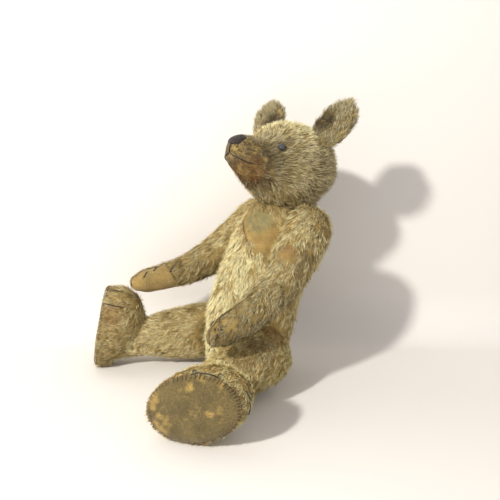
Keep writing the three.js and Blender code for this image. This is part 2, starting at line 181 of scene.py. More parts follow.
def arrays(mesh):
    """A mesh's points in millimetres, their normals, and its triangles."""
    points = np.zeros(len(mesh.vertices) * 3)
    mesh.vertices.foreach_get("co", points)
    normals = np.zeros(len(mesh.vertices) * 3)
    mesh.vertices.foreach_get("normal", normals)
    mesh.calc_loop_triangles()
    triangles = np.zeros(len(mesh.loop_triangles) * 3, np.int32)
    mesh.loop_triangles.foreach_get("vertices", triangles)
    return points.reshape(-1, 3) / MM, normals.reshape(-1, 3), triangles.reshape(-1, 3)


def unit(vectors):
    """Vectors made one long."""
    return vectors / np.maximum(np.linalg.norm(vectors, axis=1, keepdims=True), 1e-9)


def near(points, centre, radius, soft=0.5):
    """1 inside a ball of that radius, in mm, falling to 0 over the share `soft` outside it."""
    away = np.linalg.norm(points - np.array(centre, float), axis=1) / radius
    return np.clip((1 + soft - away) / soft, 0, 1)


def patchy(points, size, seed):
    """Smooth uneven values from -1 to 1, in patches of about that size in mm."""
    rng = np.random.default_rng(seed)
    total = np.zeros(len(points))
    for _ in range(6):
        way = rng.normal(size=3)
        way *= 2 * math.pi / (size * rng.uniform(1.2, 2.6) * np.linalg.norm(way))
        total += np.sin(points @ way + rng.uniform(0, 6.28))
    return np.clip(total / 2.6, -1, 1)


# The pin holes of the CAD covers, and the flat faces where two stuffed parts meet, in mm.
HOLE_RADIUS = 2.0
HOLE_DEPTH = 6.0
FACE_GAP = 0.5
FACE_PRESSED = 4.0
FACE_RADIUS = 48.0


def outer_shell(node, holes=()):
    """The outside of a hollow plush cover as one closed mesh, without its pin holes."""
    shell = bmesh.new()
    shell.from_mesh(node.data)
    bmesh.ops.remove_doubles(shell, verts=shell.verts[:], dist=1e-6)
    for point, axis in holes:
        inside = []
        for face in shell.faces:
            offset = face.calc_center_median() / MM - point
            along = offset.dot(axis)
            if (offset - axis * along).length < HOLE_RADIUS and abs(along) < HOLE_DEPTH:
                inside.append(face)
        bmesh.ops.delete(shell, geom=inside, context="FACES")
    todo = set(shell.faces)
    groups = []
    while todo:
        group, front = set(), [todo.pop()]
        while front:
            face = front.pop()
            group.add(face)
            for edge in face.edges:
                for other in edge.link_faces:
                    if other in todo:
                        todo.discard(other)
                        front.append(other)
        groups.append(group)
    groups.sort(key=lambda group: sum(face.calc_area() for face in group))
    inner = [face for group in groups[:-1] for face in group]
    bmesh.ops.delete(shell, geom=inner, context="FACES")
    bmesh.ops.holes_fill(shell, edges=[e for e in shell.edges if e.is_boundary], sides=0)
    bmesh.ops.triangulate(shell, faces=shell.faces[:])
    return shell


def about_joint(points, point, axis):
    """How far points lie along a joint's axis, and how far out from it, in mm."""
    away = points - np.array(point)
    along = away @ np.array(axis)
    return along, np.linalg.norm(away - along[:, None] * np.array(axis), axis=1)


def stuffed_skin(name, node, holes=(), voxel=2.8, smoothing=9, swell=0.6, side=1):
    """The cloth of a stuffed part: the cover's outside, remeshed and rounded over.

    It is kept flat where it turns against another part: on the side of each joint that its axis
    points to, or with side=-1 on the other."""
    shell = outer_shell(node, holes)
    mesh = bpy.data.meshes.new(name)
    shell.to_mesh(mesh)
    shell.free()
    draft = bpy.data.objects.new(name + "_draft", mesh)
    bpy.context.collection.objects.link(draft)
    remesh = draft.modifiers.new("remesh", "REMESH")
    remesh.mode = "VOXEL"
    remesh.voxel_size = voxel * MM
    smooth = draft.modifiers.new("smooth", "SMOOTH")
    smooth.factor = 0.6
    smooth.iterations = smoothing
    ready = draft.evaluated_get(bpy.context.evaluated_depsgraph_get())
    skin = bpy.data.objects.new(name, bpy.data.meshes.new_from_object(ready))
    bpy.data.objects.remove(draft)
    bpy.context.collection.objects.link(skin)
    skin.data.name = name
    points, normals, _ = arrays(skin.data)
    # Packed wood wool shows as broad lumps with smaller ones on them.
    lumps = patchy(points, 26, len(name)) * 0.5 + patchy(points, 9, len(name) + 1) * 0.22
    points = points + normals * (swell + lumps)[:, None]
    for point, axis in holes:
        along, across = about_joint(points, point, axis)
        over = FACE_GAP - side * along
        over = np.where((over > 0) & (over < FACE_PRESSED) & (across < FACE_RADIUS), over, 0)
        points = points + side * over[:, None] * np.array(axis)
    points[:, 2] = np.maximum(points[:, 2], 0.0)
    skin.data.vertices.foreach_set("co", (points * MM).ravel())
    skin.data.polygons.foreach_set("use_smooth", [True] * len(skin.data.polygons))
    skin.data.update()
    return skin


def paint(mesh, name, colours):
    """Stores a colour for each point of a mesh."""
    layer = mesh.attributes.new(name, "FLOAT_COLOR", "POINT")
    layer.data.foreach_set("color", np.hstack([colours, np.ones((len(colours), 1))]).ravel())


def blend_colours(low, high, share):
    """One colour for each point, from `low` at share 0 to `high` at share 1."""
    return low + (high - low) * np.clip(share, 0, 1)[:, None]


# The pile from its palest to its dirtiest, the darker ones also used for painted shade, the bare
# cloth and its stains, painted shade for the cloth under the pile, and the yellow of age over it all.
CREAM = np.array(linear("#EFE2B8")[:3])
STRAW = np.array(linear("#D6C08A")[:3])
OLIVE = np.array(linear("#AA925C")[:3])
UMBER = np.array(linear("#75603A")[:3])
TAN_CLOTH = np.array(linear("#9C8350")[:3])
GREY_CLOTH = np.array(linear("#86815C")[:3])
RUST = np.array(linear("#A87A48")[:3])
UNDERPILE_PAINTED_SHADE = np.array(linear("#9C8654")[:3])
YELLOWED = np.array([1.0, 0.99, 0.90])


def spots(size):
    """The scale of a noise whose spots are about `size` mm across."""
    return 1 / (size * MM)


def bands(gap):
    """The scale of waves `gap` mm apart; at scale 1 there are 20 of them in 2 pi metres."""
    return 2 * math.pi / 20 / (gap * MM)


def soil(material, shader, stored, *layers):
    """Colours a finish by a colour stored in the mesh, times each layer of dirt.

    A layer is a noise, the two values it is read between, and how dark and light it gets there."""
    colour = add_node(material, "ShaderNodeAttribute", {"attribute_name": stored}).outputs["Color"]
    for noise, low, high, dark, light in layers:
        depth = add_node(material, "ShaderNodeMapRange",
                         {"From Min": low, "From Max": high, "To Min": dark, "To Max": light},
                         {"Value": noise.outputs["Fac"]})
        dirtied = add_node(material, "ShaderNodeVectorMath", {"operation": "MULTIPLY"},
                           {0: colour, 1: depth.outputs["Result"]})
        colour = dirtied.outputs[0]
    material.node_tree.links.new(colour, shader.inputs["Base Color"])


def scuff(material, shader, noise, low, high, smooth, rough):
    """Roughness from `smooth` where the noise is `low` to `rough` where it is `high`."""
    gloss = add_node(material, "ShaderNodeMapRange",
                     {"From Min": low, "From Max": high, "To Min": smooth, "To Max": rough},
                     {"Value": noise.outputs["Fac"]})
    material.node_tree.links.new(gloss.outputs["Result"], shader.inputs["Roughness"])


# Cloth of the plush where the pile has gone: plain cotton weave, soiled in blotches, dry and
# matt. Threads are 0.5 mm apart, drawn 1.8 mm apart so that they show.
backing, backing_shader = new_finish("soiled_cotton_backing", 0.9, {"Specular IOR Level": 0.15})
place = add_node(backing, "ShaderNodeTexCoord")
stain = add_node(backing, "ShaderNodeTexNoise", {"Scale": spots(10.5), "Detail": 5.0, "Roughness": 0.62},
                 {"Vector": place.outputs["Object"]})
soil(backing, backing_shader, "ground", (stain, 0.36, 0.68, 0.68, 1.12))
scuff(backing, backing_shader, stain, 0.3, 0.7, 0.82, 0.97)
weft, warp = (add_node(backing, "ShaderNodeTexWave",
                       {"bands_direction": way, "Scale": bands(1.8), "Distortion": 1.4},
                       {"Vector": place.outputs["Object"]}) for way in "ZX")
weave = add_node(backing, "ShaderNodeMath", {"operation": "ADD"},
                 {0: weft.outputs["Fac"], 1: warp.outputs["Fac"]})
relief = add_node(backing, "ShaderNodeBump", {"Strength": 0.35, "Distance": 0.0003},
                  {"Height": weave.outputs[0]})
backing.node_tree.links.new(relief.outputs[0], backing_shader.inputs["Normal"])

# Mohair: goat's hair, glossy when new, here dulled and matted into flat wavy locks. Each lock
# carries its own tint, with painted shade towards the roots, and dirt in specks of about 4 mm breaks it up.
mohair, mohair_shader = new_finish("matted_mohair", 0.62, {
    "Specular IOR Level": 0.35, "Sheen Weight": 0.12, "Sheen Roughness": 0.5,
    "Sheen Tint": linear("#FFF4D0")})
hair_place = add_node(mohair, "ShaderNodeTexCoord")
dirt = add_node(mohair, "ShaderNodeTexNoise", {"Scale": spots(3.85), "Detail": 4.0, "Roughness": 0.6},
                {"Vector": hair_place.outputs["Object"]})
soil(mohair, mohair_shader, "tint", (dirt, 0.34, 0.66, 0.80, 1.14))
scuff(mohair, mohair_shader, dirt, 0.3, 0.7, 0.50, 0.74)

# A hair's four stations from root to tip, the painted shade that darkens each towards the root, and how
# wide all but the tip are.
STATIONS = np.array([0.0, 0.34, 0.70, 1.0])
STATION_PAINTED_SHADE = np.array([0.52, 0.86, 1.06, 1.16])
STATION_WIDTH = np.array([1.0, 0.95, 0.62])
# How the hairs of a lock differ: how far its roots spread in mm, the share that stands astray, the share
# that lies deep, shorter and darkened as painted shade, and how far the lock draws together at its tip.
ROOT_SPREAD = 1.6
ASTRAY = 0.18
DEEP = 0.22
DRAWN = 0.60
# Cards across the map for baking.
CARDS = 24


def grow_pile(name, skin, count, nap, coat, tint, seed, per_lock=9, hair_width=0.56, contrast=1.0):
    """Grows `count` hairs on a skin, in locks whose hairs draw together at the tip.

    nap(points) gives the way the pile lies, coat(points) its cover from 0 to 1, length in mm and
    lift in degrees, and tint(points, rng) the colour of a lock. More contrast sets the hairs of a
    lock further apart in brightness. A hair is drawn far wider than mohair is, so that it shows."""
    rng = np.random.default_rng(seed)
    points, normals, triangles = arrays(skin.data)
    a, b, c = (points[triangles[:, i]] for i in range(3))
    area = np.linalg.norm(np.cross(b - a, c - a), axis=1)
    # More places are drawn than locks are wanted, because the coat's cover thins them out.
    locks_wanted = count // per_lock
    pick = rng.choice(len(area), int(locks_wanted * 2.6), p=area / area.sum())
    u, v = rng.random((2, len(pick), 1))
    u, v = np.where(u + v > 1, 1 - u, u), np.where(u + v > 1, 1 - v, v)
    root = a[pick] * (1 - u - v) + b[pick] * u + c[pick] * v
    out = unit(normals[triangles[pick, 0]] * (1 - u - v) + normals[triangles[pick, 1]] * u
               + normals[triangles[pick, 2]] * v)
    cover, length, lift = coat(root)
    kept = np.where(rng.random(len(root)) < cover)[0][:locks_wanted]
    root, out, length, lift = root[kept], out[kept], length[kept], lift[kept]
    colour = tint(root, rng)

    # Each lock lies along the skin the way of the nap, swirled in patches, and bends as it goes.
    way = nap(root)
    way = unit(way - out * (way * out).sum(1, keepdims=True))
    swirl = 0.30 * patchy(root, 22, seed + 5) + 0.16 * rng.normal(size=len(root))
    side = np.cross(out, way)
    way = way * np.cos(swirl)[:, None] + side * np.sin(swirl)[:, None]
    bend = rng.normal(0, 0.16, len(root)) + 0.14 * patchy(root, 15, seed + 9)
    phase = rng.uniform(0, 2 * math.pi, len(root))

    # The hairs of each lock, from roots scattered round its own, each with its own length and
    # lift, and each a flat blade rolled a little about its length.
    lock = np.repeat(np.arange(len(root)), per_lock)
    hairs = len(lock)
    side = np.cross(out, way)
    spread = rng.normal(0, ROOT_SPREAD, (hairs, 2))
    foot = root[lock] + way[lock] * spread[:, :1] + side[lock] * spread[:, 1:]
    size = length[lock] * rng.uniform(0.62, 1.15, hairs)
    raised = np.radians(lift[lock] * rng.uniform(0.55, 1.5, hairs))
    stray = rng.random(hairs) < ASTRAY
    raised = np.where(stray, np.minimum(raised * 2.5, 1.25), raised)
    deep = ~stray & (rng.random(hairs) < DEEP)
    size = np.where(deep, size * 0.75, size)
    twist = rng.normal(0, 0.20, hairs)
    lie = unit(way[lock] + side[lock] * twist[:, None])
    cross = np.cross(out[lock], lie)
    roll = rng.normal(0, 0.55, hairs)
    flat = cross * np.cos(roll)[:, None] + out[lock] * np.sin(roll)[:, None]
    thick = hair_width * rng.uniform(0.7, 1.25, hairs) / 2
    # Two corners at each station and one at the tip, kept above the table.
    verts = np.zeros((hairs, 7, 3))
    for i, s in enumerate(STATIONS):
        draw = DRAWN * s * s
        wave = 0.085 * np.sin(2 * math.pi * 1.15 * s + phase[lock]) * s + bend[lock] * s * s
        middle = (foot + (root[lock] - foot) * draw
                  + lie * (size * s * np.cos(raised))[:, None]
                  + out[lock] * (size * np.sin(raised) * (s - 0.38 * s * s) - 0.25)[:, None]
                  + cross * (size * wave)[:, None])
        if i < 3:
            verts[:, 2 * i] = middle - flat * (thick * STATION_WIDTH[i])[:, None]
            verts[:, 2 * i + 1] = middle + flat * (thick * STATION_WIDTH[i])[:, None]
        else:
            verts[:, 6] = middle
    verts[:, :, 2] = np.maximum(verts[:, :, 2], 0.15)

    mesh = bpy.data.meshes.new(name)
    mesh.vertices.add(hairs * 7)
    mesh.vertices.foreach_set("co", (verts * MM).ravel())
    corners = np.array([0, 1, 3, 2, 2, 3, 5, 4, 4, 5, 6])
    mesh.loops.add(hairs * 11)
    mesh.loops.foreach_set("vertex_index", (np.arange(hairs)[:, None] * 7 + corners).ravel())
    mesh.polygons.add(hairs * 3)
    mesh.polygons.foreach_set("loop_start", (np.arange(hairs)[:, None] * 11 + [0, 4, 8]).ravel())
    mesh.polygons.foreach_set("use_smooth", [True] * (hairs * 3))
    mesh.update(calc_edges=True)

    # Each hair's own brightness at random, with the deep ones darkened as painted shade.
    shade = rng.uniform(1 - 0.24 * contrast, 1 + 0.30 * contrast, hairs)
    shade = colour[lock] * (shade * np.where(deep, 0.62 / contrast, 1.0))[:, None]
    # Painted shade: each hair is darkest at its root and lightest at its tip.
    level = STATION_PAINTED_SHADE[[0, 0, 1, 1, 2, 2, 3]]
    tints = np.clip(shade[:, None, :] * level[None, :, None], 0.004, 0.88)
    paint(mesh, "tint", tints.reshape(-1, 3))

    # The map for baking: hairs of one tint share a card, laid out by brightness and by warmth.
    bright = np.clip(shade.mean(1) ** 0.5 * CARDS * 1.05, 0, CARDS - 1).astype(int)
    warmth = (shade[:, 0] - shade[:, 2]) / np.maximum(shade.sum(1), 1e-6)
    warm = np.clip(warmth * 1.9 * CARDS, 0, CARDS - 1).astype(int)
    left_right = np.array([0.14, 0.86, 0.86, 0.14, 0.14, 0.86, 0.86, 0.14, 0.14, 0.86, 0.5])
    root_tip = np.array([0.1, 0.1, 0.36, 0.36, 0.36, 0.36, 0.64, 0.64, 0.64, 0.64, 0.9])
    uv = np.stack([(warm[:, None] + left_right) / CARDS, (bright[:, None] + root_tip) / CARDS], axis=2)
    mesh.uv_layers.new(name="OFBake").data.foreach_set("uv", uv.ravel())
    pile = bpy.data.objects.new(name, mesh)
    bpy.context.collection.objects.link(pile)
    mesh.materials.append(mohair)
    return pile


def lock_colours(points, rng, light, dark, seed):
    """The mixed colours of matted locks; light and dark are shares from 0 to 1 for each lock."""
    clump = patchy(points, 5, seed) * 0.5 + patchy(points, 16, seed + 2) * 0.35
    mix = rng.normal(0.74, 0.17, len(points)) + clump * 0.24 + light - dark
    colour = blend_colours(UMBER, OLIVE, mix / 0.22)
    colour = blend_colours(colour, STRAW, (mix - 0.18) / 0.34)
    return blend_colours(colour, CREAM, (mix - 0.50) / 0.38) * YELLOWED


def dress(skin, cloth, coat):
    """Colours the cloth under a pile: painted shade where the pile is deep, bare cloth where it is gone."""
    points, _, _ = arrays(skin.data)
    cover, _, _ = coat(points)
    paint(skin.data, "ground", blend_colours(cloth(points), UNDERPILE_PAINTED_SHADE, (cover - 0.25) / 0.5))
    skin.data.materials.append(backing)


def even_cloth(points):
    """Bare cloth: tan, with grey soiled patches."""
    return blend_colours(np.tile(TAN_CLOTH, (len(points), 1)), GREY_CLOTH, patchy(points, 30, 3) * 0.6)


LEAN = math.radians(14)
torso_up = Vector((0, math.sin(LEAN), math.cos(LEAN)))
neck = (Vector((0, 50.32, 201.82)), torso_up)
shoulders, hips = {}, {}
for side, way in (("left", 1), ("right", -1)):
    shoulders[side] = (Vector((way * 39, 45.97, 176.11)), Vector((way * 0.9686, 0.1361, 0.2079)))
    hips[side] = (Vector((way * 39, -7.30, 45.11)), Vector((way * 0.9897, 0.0346, -0.1392)))

# The bald places on the chest, as middles and radii, and the points that the closing seam runs by.
CHEST_PATCH = [((20, 4, 187), 18), ((34, 8, 170), 15), ((41, 12, 156), 9), ((3, 2, 192), 12)]
SEAM = [(-14, 0, 189), (-2, -3, 181), (10, -5, 170), (21, -5, 158), (28, -6, 144)]


def torso_bare(points):
    """How bare the torso is: the chest patch, its edge ragged, and the crease under the neck."""
    bare = np.zeros(len(points))
    for centre, radius in CHEST_PATCH:
        bare = np.maximum(bare, near(points, centre, radius, 0.30))
    return np.clip(bare + 0.25 * patchy(points, 7, 21) * (bare > 0.05), 0, 1)


def rubbed(points, joints, reach):
    """1 on the cloth that lies under a limb, round its joint, falling to 0 past `reach` mm."""
    under = np.zeros(len(points))
    for point, axis in joints:
        along, across = about_joint(points, point, axis)
        under = np.maximum(under, np.clip((reach + 7 - across) / 7, 0, 1) * (np.abs(along) < 7))
    return under


def torso_coat(points):
    bare = torso_bare(points)
    under = np.maximum(rubbed(points, shoulders.values(), 22), rubbed(points, hips.values(), 36))
    cover = (1 - 0.80 * bare) * (1 - 0.85 * under)
    length = 10.0 - 8.2 * bare + 1.2 * patchy(points, 20, 31)
    belly = np.clip((150 - points[:, 2]) / 60, 0, 1)
    for start, end in zip(SEAM, SEAM[1:]):
        for share in (0.0, 0.25, 0.5, 0.75):
            parting = near(points, np.array(start) * (1 - share) + np.array(end) * share, 2.2, 0.8)
            cover, length = cover * (1 - 0.75 * parting), length * (1 - 0.4 * parting)
    flank = rubbed(points, hips.values(), 62)
    length = (length + 1.5 * belly) * (1 - 0.8 * under) * (1 - 0.45 * flank)
    return cover, length, 20 - 8 * bare - 10 * np.maximum(under, flank)


def torso_nap(points):
    return np.tile(-np.array(torso_up), (len(points), 1)) + 0.18 * np.stack(
        [np.sign(points[:, 0]), np.zeros(len(points)), np.zeros(len(points))], axis=1)


def torso_tint(points, rng):
    # The front is painted lighter, where the light falls, and the back darker as painted shade.
    front = np.clip((10 - points[:, 1]) / 40, 0, 1)
    bare = torso_bare(points)
    colour = lock_colours(points, rng, 0.26 * front, 0.10 * (1 - front), 41)
    # Painted shadow round the top of the body, where the head sits on it.
    collar_painted_shade = np.clip((points[:, 2] - 192) / 12, 0, 1)
    colour = blend_colours(colour, OLIVE * 0.8, 0.5 * collar_painted_shade)
    return blend_colours(colour, TAN_CLOTH * 0.95, bare * 0.8)


def torso_cloth(points):
    """Bare cloth on the torso: tan, and grey on the chest."""
    colour = np.tile(TAN_CLOTH, (len(points), 1))
    grey = near(points, (16, 8, 195), 15, 0.6)
    return blend_colours(colour, GREY_CLOTH, grey * (0.8 + 0.2 * patchy(points, 8, 4)))


def plush_on(body, *pieces):
    """Sets plush pieces to move with a body."""
    for piece in pieces:
        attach(piece, body)


torso_holes = [neck] + list(shoulders.values()) + list(hips.values())
torso_skin = stuffed_skin("torso_skin", nodes["torso_cover"], torso_holes, side=-1)
dress(torso_skin, torso_cloth, torso_coat)
torso_pile = grow_pile("torso_pile", torso_skin, 37000, torso_nap, torso_coat, torso_tint, 101)
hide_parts("torso_cover", "torso_stuffing")
plush_on("torso", torso_skin, torso_pile)

# ---- Head: skull, long muzzle and short neck, with its pile ----
# The same plush, packed harder. The pile runs back from the muzzle, up over the cheeks and down
# the throat. It is rubbed short on the muzzle and round the eyes.

TURN, PITCH, ROLL = math.radians(14), math.radians(20), math.radians(-2)
head_forward = Vector((math.sin(TURN) * math.cos(PITCH), -math.cos(TURN) * math.cos(PITCH),
                       math.sin(PITCH)))
head_left = Matrix.Rotation(ROLL, 3, head_forward) @ Vector((math.cos(TURN), math.sin(TURN), 0))
head_up = head_forward.cross(head_left)
skull = Vector((1, 58.32, 251.82))


def on_head(forward, left, up):
    """A place on the head in mm: forwards, to the bear's left, and up from the skull's middle."""
    return skull + head_forward * forward + head_left * left + head_up * up


eye_places = [on_head(48, side * 29, 8) for side in (-1, 1)]
ORANGE = np.array(linear("#9A622C")[:3])


def head_places(points):
    """Points as forward, left and up from the middle of the skull."""
    away = points - np.array(skull)
    return away @ np.array(head_forward), away @ np.array(head_left), away @ np.array(head_up)


def head_worn(points):
    """How rubbed down the pile is: the muzzle most, then round the eyes."""
    forward, _, _ = head_places(points)
    worn = np.clip((forward - 48) / 30, 0, 1)
    for eye in eye_places:
        worn = np.maximum(worn, 0.8 * near(points, eye, 6, 0.9))
    return worn


def head_coat(points):
    forward, _, up = head_places(points)
    worn = head_worn(points)
    crown = np.clip((up - 18) / 16, 0, 1)
    back = np.clip((10 - forward) / 30, 0, 1)
    length = 11.5 - 8.0 * worn + 0.5 * crown + 1.5 * back
    cover = 0.66 + 0.34 * worn
    for eye in eye_places:
        cover *= 1 - near(points, eye, 4.5, 0.2)
    cover *= 1 - near(points, on_head(94, 0, 2), 7.5, 0.2)
    cover *= 1 - 0.85 * rubbed(points, [neck], 24)
    throat = np.clip((-34 - up) / 12, 0, 1)
    return cover, length - 5.0 * throat, 21 + 24 * crown + 4 * worn


def head_nap(points):
    """Back from the muzzle, up over the cheeks, down the throat, and outwards from the middle."""
    _, left, up = head_places(points)
    rise = np.interp(up, [-70, -40, -22, 0, 25, 45], [-1.0, -0.45, 0.25, 0.40, 0.15, 0.0])
    out = np.sign(left) * np.clip(np.abs(left) / 20, 0, 1) * 0.15
    return (-np.array(head_forward)[None, :] + np.array(head_up)[None, :] * rise[:, None]
            + np.array(head_left)[None, :] * out[:, None])


def head_tint(points, rng):
    """Painted light on the crown; painted shade under the chin and round the neck; brown and orange at the
    lip.
    """
    forward, _, up = head_places(points)
    crown = np.clip((up - 10) / 25, 0, 1)
    muzzle = np.clip((forward - 38) / 22, 0, 1) * np.clip((8 - up) / 10, 0, 1)
    throat = np.clip((-24 - up) / 14, 0, 1)
    flow = 0.22 * patchy(points, 8, 63)
    # The throat's locks are darkened as painted shade and the crown's lightened as painted light.
    colour = lock_colours(points, rng, 0.16 * crown + flow, 0.22 * throat + 0.16 * muzzle, 61)
    # Painted shadow round the neck, below the head.
    low = near(points, np.array(neck[0]), 34, 0.35) * np.clip((215 - points[:, 2]) / 10, 0, 1)
    colour = blend_colours(colour, UMBER * 0.6, 0.8 * low)
    colour = blend_colours(colour, CREAM, 0.7 * near(points, (12, 14, 221), 6, 0.8))
    chin = np.maximum(near(points, on_head(73, 12, -27), 11, 0.8),
                      near(points, on_head(73, -12, -27), 11, 0.8))
    stubble = muzzle * (rng.random(len(points)) < 0.45)
    colour = blend_colours(colour, UMBER * 0.8, 0.65 * stubble)
    colour = blend_colours(colour, RUST, 0.20 * muzzle)
    for side in (-1, 1):
        colour = blend_colours(colour, UMBER, 0.55 * near(points, on_head(46, side * 28, 14), 6, 0.8))
    # The head's pile is darker all over and on the muzzle; the crown is painted lighter, where the light
    # falls on it.
    colour = colour * (0.50 + 0.36 * crown)[:, None] * (1 - 0.42 * muzzle)[:, None]
    return blend_colours(colour, ORANGE, 0.40 * chin)


def head_cloth(points):
    forward, _, _ = head_places(points)
    colour = np.tile(TAN_CLOTH, (len(points), 1))
    colour = blend_colours(colour, UMBER, np.clip((forward - 30) / 60, 0, 0.45))
    colour = colour * (1 - 0.62 * np.clip((forward - 40) / 20, 0, 1))[:, None]
    return blend_colours(colour, RUST * 1.1, near(points, on_head(90, 5, -11), 6, 0.8) * 0.9)


head_skin = stuffed_skin("head_skin", nodes["head_cover"], [neck], smoothing=7)
dress(head_skin, head_cloth, head_coat)
head_pile = grow_pile("head_pile", head_skin, 37000, head_nap, head_coat, head_tint, 102, contrast=1.7)
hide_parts("head_cover", "head_stuffing")
plush_on("head", head_skin, head_pile)

# ---- Eyes ----
# Two dark glass eyes on wire loops. Thread through the loops pulls them in tight to the head, so
# each one sits in a dent with the pile worn off round it.


def mottle(material, shader, size, detail, low, high):
    """Speckles a finish between two colours, in spots of `size` mm; gives back their noise."""
    place = add_node(material, "ShaderNodeTexCoord")
    noise = add_node(material, "ShaderNodeTexNoise", {"Scale": spots(size), "Detail": detail},
                     {"Vector": place.outputs["Object"]})
    colour = add_node(material, "ShaderNodeMix",
                      {"data_type": "RGBA", COLOUR_A: linear(low), COLOUR_B: linear(high)},
                      {"Factor": noise.outputs["Fac"]})
    material.node_tree.links.new(colour.outputs[MIXED], shader.inputs["Base Color"])
    return noise


# Pressed glass, old and finely scratched, so that it shines greyly and not as a sharp point. The
# scratches are drawn as a haze in spots of 1.1 mm.
eye_glass, eye_shader = new_finish("scratched_dark_glass", 0.2, {"Coat Weight": 0.4, "IOR": 1.5})
scratches = mottle(eye_glass, eye_shader, 1.1, 3.0, "#242326", "#4C4C52")
scuff(eye_glass, eye_shader, scratches, 0.35, 0.65, 0.16, 0.38)


def refinish(node, material):
    """Gives a CAD piece another material and leaves its shape alone."""
    slot = nodes[node].material_slots[0]
    slot.link = "OBJECT"
    slot.material = material


for side in ("left", "right"):
    refinish(f"{side}_eye", eye_glass)

# ---- Nose and mouth: satin stitches ----
# Black cotton thread, sewn side by side over the end of the muzzle, then one long stitch down to
# the lip and one each way for the mouth.

# Black cotton: a few twisted plies, brownish where it has faded, with a low sheen. The plies are
# drawn 0.67 mm apart, coarser than real ones, so that they show.
cotton, cotton_shader = new_finish("black_sewing_cotton", 0.55,
                                   {"Sheen Weight": 0.2, "Specular IOR Level": 0.4})
plies = mottle(cotton, cotton_shader, 0.67, 2.0, "#140C0A", "#2E211B")
cotton_bump = add_node(cotton, "ShaderNodeBump", {"Strength": 0.5, "Distance": 0.0002},
                       {"Height": plies.outputs["Fac"]})
cotton.node_tree.links.new(cotton_bump.outputs[0], cotton_shader.inputs["Normal"])


def skin_tree(skin):
    """A search tree over a skin, in millimetres."""
    points, _, triangles = arrays(skin.data)
    return BVHTree.FromPolygons(points.tolist(), triangles.tolist())


def laid(tree, path, lift, step=1.6):
    """A path of rough points pulled down to the nearest skin and raised by `lift` mm."""
    dense = []
    for start, end in zip(path, path[1:]):
        start, end = Vector(start), Vector(end)
        parts = max(1, int((end - start).length / step))
        dense += [start.lerp(end, i / parts) for i in range(parts)]
    dense.append(Vector(path[-1]))
    placed = []
    for point in dense:
        spot, normal, _, _ = tree.find_nearest(point)
        placed.append(spot + normal * lift)
    return placed


# A thread's facets round, and how thin its ends are beside the rest of it.
THREAD_SIDES = 7
THREAD_END = 0.55


def sew(name, threads, radius, body, material, sink=0.7):
    """Threads as round tubes, whose two ends narrow and dip `sink` mm into the cloth.

    Each thread is a path and a function that gives the cloth's normal at a point."""
    made = bmesh.new()
    for path, normal_at in threads:
        rings = []
        for i, point in enumerate(path):
            ahead = (path[min(i + 1, len(path) - 1)] - path[max(i - 1, 0)]).normalized()
            up = normal_at(point)
            across = ahead.cross(up)
            across = across.normalized() if across.length > 1e-6 else ahead.orthogonal().normalized()
            up = across.cross(ahead)
            at_end = i in (0, len(path) - 1)
            end = THREAD_END if at_end else 1.0
            middle = point - up * (sink if at_end else 0)
            ring = []
            for k in range(THREAD_SIDES):
                turn = 2 * math.pi * k / THREAD_SIDES
                spoke = (across * math.cos(turn) + up * math.sin(turn)) * radius * end
                ring.append(made.verts.new((middle + spoke) * MM))
            rings.append(ring)
        for low, high in zip(rings, rings[1:]):
            for k in range(THREAD_SIDES):
                after = (k + 1) % THREAD_SIDES
                made.faces.new((low[k], low[after], high[after], high[k]))
        made.faces.new(rings[0][::-1])
        made.faces.new(rings[-1])
    bmesh.ops.recalc_face_normals(made, faces=made.faces[:])
    mesh = bpy.data.meshes.new(name)
    made.to_mesh(mesh)
    made.free()
    mesh.polygons.foreach_set("use_smooth", [True] * len(mesh.polygons))
    piece = bpy.data.objects.new(name, mesh)
    bpy.context.collection.objects.link(piece)
    mesh.materials.append(material)
    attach(piece, body)
    return piece


def outward(tree):
    """A function that gives a skin's normal nearest to a point."""
    return lambda point: tree.find_nearest(point)[1]


head_tree = skin_tree(head_skin)


def muzzle_at(turn, up, lift):
    """A point on the muzzle, `turn` degrees round from its front and `up` mm above its middle."""
    turn = math.radians(turn)
    start = on_head(60 + 70 * math.cos(turn), 70 * math.sin(turn), up)
    spot, normal, _, _ = head_tree.ray_cast(start, (on_head(60, 0, up) - start).normalized())
    return spot + normal * lift if spot else on_head(90, 0, up)


# The nose in mm: the gap between its stitches, and half its width and height.
STITCH_GAP = 1.55
NOSE_WIDE, NOSE_HIGH = 11.0, 8.4
STITCH_STEPS = 8

satin = []
for column in range(-6, 7):
    left = column * STITCH_GAP
    reach = NOSE_HIGH * math.sqrt(max(0.05, 1 - (left / NOSE_WIDE) ** 2))
    path = []
    for i in range(STITCH_STEPS + 1):
        up = 1.4 + reach * (1 - 2 * i / STITCH_STEPS) - 0.15 * abs(left)
        spot, _, _, _ = head_tree.ray_cast(on_head(120, left, up), -head_forward)
        if spot:
            proud = 0.5 + 1.5 * math.sin(math.pi * i / STITCH_STEPS) + 0.25 * (column % 2)
            path.append(spot + head_forward * proud)
    if len(path) > 3:
        satin.append((path, lambda point: head_forward))
nose = sew("nose_threads", satin, 1.1, "head", cotton)
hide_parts("nose_stitching")

lip_start = [muzzle_at(0, up, 1.5) for up in (-3.5, -7, -10.5, -14, -17)]
smile = [(lip_start, outward(head_tree))]
LIP = [(0, -16.5), (9, -18.2), (18, -19.6), (27, -20.6), (36, -21.2), (45, -21.2), (54, -20.4)]
for way in (-1, 1):
    smile.append(([muzzle_at(way * turn, up, 1.7) for turn, up in LIP], outward(head_tree)))
mouth = sew("mouth_threads", smile, 0.72, "head", cotton)
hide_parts("mouth_stitching")

# ---- Closing seam ----
# The body was stuffed through a gap in its front, then drawn together by hand with linen thread.
# The seam starts at a bare stitch hole by the bear's right shoulder and runs down the belly.

# Linen: dry and matt, brown, with paler flecks, drawn 0.83 mm apart so that they show.
linen, linen_shader = new_finish("brown_linen_thread", 0.8, {"Sheen Weight": 0.15})
mottle(linen, linen_shader, 0.83, 2.0, "#4E3C22", "#836A40")

